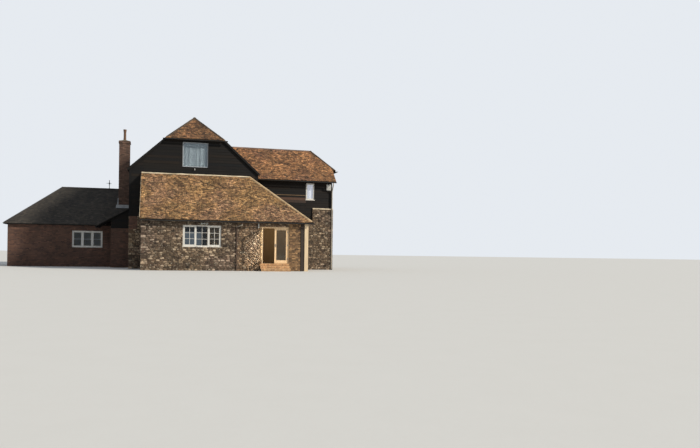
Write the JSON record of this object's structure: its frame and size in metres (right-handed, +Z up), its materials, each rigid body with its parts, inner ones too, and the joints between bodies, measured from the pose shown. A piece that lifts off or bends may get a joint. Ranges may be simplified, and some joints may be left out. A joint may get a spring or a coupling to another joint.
{
  "type": "converted barn house with clay tiled roofs",
  "caption": "Stone and black boarded barn house with half-hipped clay tile roofs, a lean-to with glazed double doors, a side wing, a low hipped range and a brick chimney.",
  "frame": {"origin": "ground level, under the middle of the whole house's box as it stands at rest", "axes": "+X along the garden front to the right, +Y back from the garden front into the house, +Z up"},
  "size_m": [20.312, 14.4684, 9.3141],
  "materials": {
    "ragstone": "rough rubble",
    "brick": "weathered red-brown brick",
    "boards": "black stained weatherboard",
    "tile": "weathered clay peg tile",
    "oak": "pale oiled wood",
    "paint": "off-white paint",
    "floor": "worn flags",
    "plastic": "satin black",
    "terracotta": "unglazed",
    "cloth": "thin curtain",
    "glass": "clear"
  },
  "bodies": {
    "house": {"front_wall": "ragstone", "side_and_back_walls": "ragstone", "front_gable": "boards", "back_gable": "boards", "left_boarded_wall": "boards", "right_boarded_wall": "boards", "wing_front_wall": "ragstone", "wing_end_and_back_walls": "ragstone", "wing_front_boarding": "boards", "wing_end_and_back_boarding": "boards", "lean_to_wall_left": "ragstone", "lean_to_wall_right": "ragstone", "lean_to_wall_over_door": "ragstone", "corner_post": "paint", "range_front_wall": "brick", "range_end_and_back_walls": "brick", "porch_wall": "brick", "main_roof_left": "tile", "main_roof_right": "tile", "main_front_half_hip": "tile", "main_back_half_hip": "tile", "wing_roof_front": "tile", "wing_roof_back": "tile", "wing_half_hip": "tile", "lean_to_roof_front": "tile", "lean_to_roof_hip": "tile", "range_roof_front": "tile", "range_roof_back": "tile", "range_roof_end": "tile", "porch_roof": "tile", "chimney_stack": "brick", "chimney_pot": "terracotta", "ground_floor": "floor", "first_floor": "oak", "attic_floor": "oak", "lean_to_window": "paint", "lean_to_window_glass": "glass", "gable_window": "paint", "gable_window_glass": "glass", "gable_curtain": "cloth", "wing_window": "paint", "wing_window_glass": "glass", "range_window": "paint", "back_window": "paint", "back_gable_window": "paint", "wing_back_window": "paint", "door_frame": "oak", "door_steps": "brick", "lean_to_gutter": "plastic", "lean_to_downpipe": "plastic", "front_hip_gutter": "plastic", "wing_gutter": "plastic", "wing_hip_gutter": "plastic", "wing_downpipe": "paint", "twin_spotlight": "plastic", "alarm_box": "paint"},
    "left_leaf": {"left_door": "oak", "left_door_glass": "glass"},
    "right_leaf": {"right_door": "oak", "right_door_glass": "glass"}
  },
  "joints": [
    {"name": "left_leaf_hinge", "type": "hinge", "parent": "house", "child": "left_leaf", "pos_m": [4.5967, -6.47353, 1.431], "axis": [0, 0, 1], "range_deg": [-20, 95]},
    {"name": "right_leaf_hinge", "type": "hinge", "parent": "house", "child": "right_leaf", "pos_m": [6.1207, -6.47353, 1.431], "axis": [0, 0, 1], "range_deg": [0, 115]}
  ]
}
